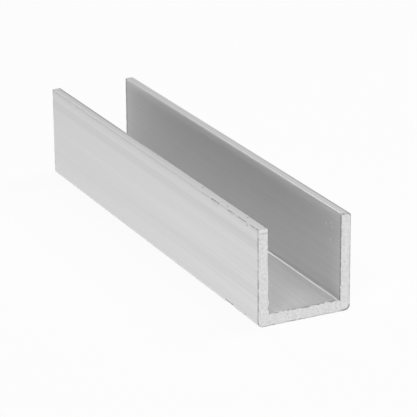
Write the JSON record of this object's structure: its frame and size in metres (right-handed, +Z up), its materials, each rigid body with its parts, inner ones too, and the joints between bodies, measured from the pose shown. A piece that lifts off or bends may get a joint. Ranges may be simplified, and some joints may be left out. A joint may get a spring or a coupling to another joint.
{
  "type": "aluminium channel profile",
  "caption": "Short cut length of square aluminium channel, an extruded U section with equal flanges and web, sawn square at both ends and left mill finished.",
  "frame": {"origin": "middle of the underside of the web, halfway between the two saw cuts", "axes": "+Y along the length, away from the sawn end that the picture shows; +Z up out of the open side; +X across the width"},
  "size_m": [0.02, 0.1, 0.02],
  "materials": {
    "mill_aluminium": "mill finish as extruded, with saw-cut ends"
  },
  "bodies": {
    "root": {"u_channel": "mill_aluminium"}
  },
  "joints": []
}
